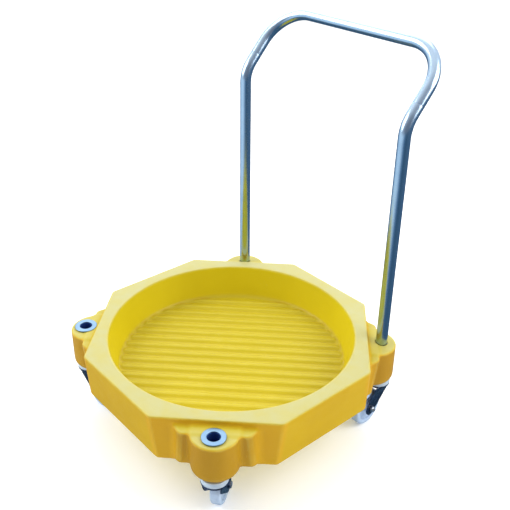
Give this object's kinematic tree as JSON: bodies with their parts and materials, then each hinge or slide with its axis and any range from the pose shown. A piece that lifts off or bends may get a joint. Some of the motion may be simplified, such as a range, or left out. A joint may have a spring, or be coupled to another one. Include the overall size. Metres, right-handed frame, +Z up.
{
  "type": "drum dolly",
  "caption": "Octagonal yellow plastic tray dolly with a round ribbed recess, corner lobes on swivel castors and an upright steel tube handle that lifts out.",
  "frame": {"origin": "on the ground, under the middle of the overall box; the tray's own middle lies 32.7 mm in front of it (towards -Y), because the handle leans back past the tray", "axes": "+X to the right, +Y towards the handle, +Z up"},
  "size_m": [0.7158, 0.7813, 0.984],
  "materials": {
    "tray_plastic": "satin yellow rotationally moulded polyethylene",
    "zinc_plate": "bright blue-white zinc plate",
    "fork_steel": "glossy dark blue passivated pressed steel",
    "bolt_steel": "plain zinc-plated steel",
    "nylon": "white nylon, slightly scuffed",
    "handle_tube": "bright zinc-plated steel tube"
  },
  "bodies": {
    "base": {"base_moulding": "tray_plastic", "drain_plug": "tray_plastic", "king_bolts": "bolt_steel", "king_nuts": "bolt_steel", "socket_tube_front_left": "zinc_plate", "socket_tube_front_right": "zinc_plate", "socket_tube_rear_right": "zinc_plate", "socket_tube_rear_left": "zinc_plate", "socket_washer_front_left": "zinc_plate", "socket_washer_front_right": "zinc_plate", "top_plate_front_left": "zinc_plate", "top_plate_front_right": "zinc_plate", "top_plate_rear_right": "zinc_plate", "top_plate_rear_left": "zinc_plate", "upper_race_front_left": "zinc_plate", "upper_race_front_right": "zinc_plate", "upper_race_rear_right": "zinc_plate", "upper_race_rear_left": "zinc_plate"},
    "castor_front_left": {"fork_front_left": "fork_steel", "balls_front_left": "bolt_steel", "axle_sleeve_front_left": "bolt_steel", "axle_bolt_front_left": "zinc_plate", "axle_nut_front_left": "zinc_plate"},
    "wheel_body_front_left": {"wheel_front_left": "nylon"},
    "castor_front_right": {"fork_front_right": "fork_steel", "balls_front_right": "bolt_steel", "axle_sleeve_front_right": "bolt_steel", "axle_bolt_front_right": "zinc_plate", "axle_nut_front_right": "zinc_plate"},
    "wheel_body_front_right": {"wheel_front_right": "nylon"},
    "castor_rear_right": {"fork_rear_right": "fork_steel", "balls_rear_right": "bolt_steel", "axle_sleeve_rear_right": "bolt_steel", "axle_bolt_rear_right": "zinc_plate", "axle_nut_rear_right": "zinc_plate"},
    "wheel_body_rear_right": {"wheel_rear_right": "nylon"},
    "castor_rear_left": {"fork_rear_left": "fork_steel", "balls_rear_left": "bolt_steel", "axle_sleeve_rear_left": "bolt_steel", "axle_bolt_rear_left": "zinc_plate", "axle_nut_rear_left": "zinc_plate"},
    "wheel_body_rear_left": {"wheel_rear_left": "nylon"},
    "handle": {"handle_leg_left": "handle_tube", "handle_leg_right": "handle_tube", "handle_bow": "handle_tube", "handle_spigot_left": "bolt_steel", "handle_spigot_right": "bolt_steel"}
  },
  "joints": [
    {"name": "swivel_front_left", "type": "hinge", "parent": "base", "child": "castor_front_left", "pos_m": [-0.276, -0.30872, 0.11], "axis": [0, 0, 1], "continuous": true},
    {"name": "spin_front_left", "type": "hinge", "parent": "castor_front_left", "child": "wheel_body_front_left", "pos_m": [-0.22918, -0.30463, 0.05], "axis": [-0.0872, 0.9962, 0], "continuous": true},
    {"name": "swivel_front_right", "type": "hinge", "parent": "base", "child": "castor_front_right", "pos_m": [0.276, -0.30872, 0.11], "axis": [0, 0, 1], "continuous": true},
    {"name": "spin_front_right", "type": "hinge", "parent": "castor_front_right", "child": "wheel_body_front_right", "pos_m": [0.24904, -0.27022, 0.05], "axis": [-0.8192, -0.5736, 0], "continuous": true},
    {"name": "swivel_rear_right", "type": "hinge", "parent": "base", "child": "castor_rear_right", "pos_m": [0.276, 0.24328, 0.11], "axis": [0, 0, 1], "continuous": true},
    {"name": "spin_rear_right", "type": "hinge", "parent": "castor_rear_right", "child": "wheel_body_rear_right", "pos_m": [0.28091, 0.19653, 0.05], "axis": [0.9945, 0.1045, 0], "continuous": true},
    {"name": "swivel_rear_left", "type": "hinge", "parent": "base", "child": "castor_rear_left", "pos_m": [-0.276, 0.24328, 0.11], "axis": [0, 0, 1], "continuous": true},
    {"name": "spin_rear_left", "type": "hinge", "parent": "castor_rear_left", "child": "wheel_body_rear_left", "pos_m": [-0.28816, 0.19788, 0.05], "axis": [0.9659, -0.2588, 0], "continuous": true},
    {"name": "handle_lift", "type": "slide", "parent": "base", "child": "handle", "axis": [0, 0, 1], "range_m": [0, 0.12]}
  ]
}
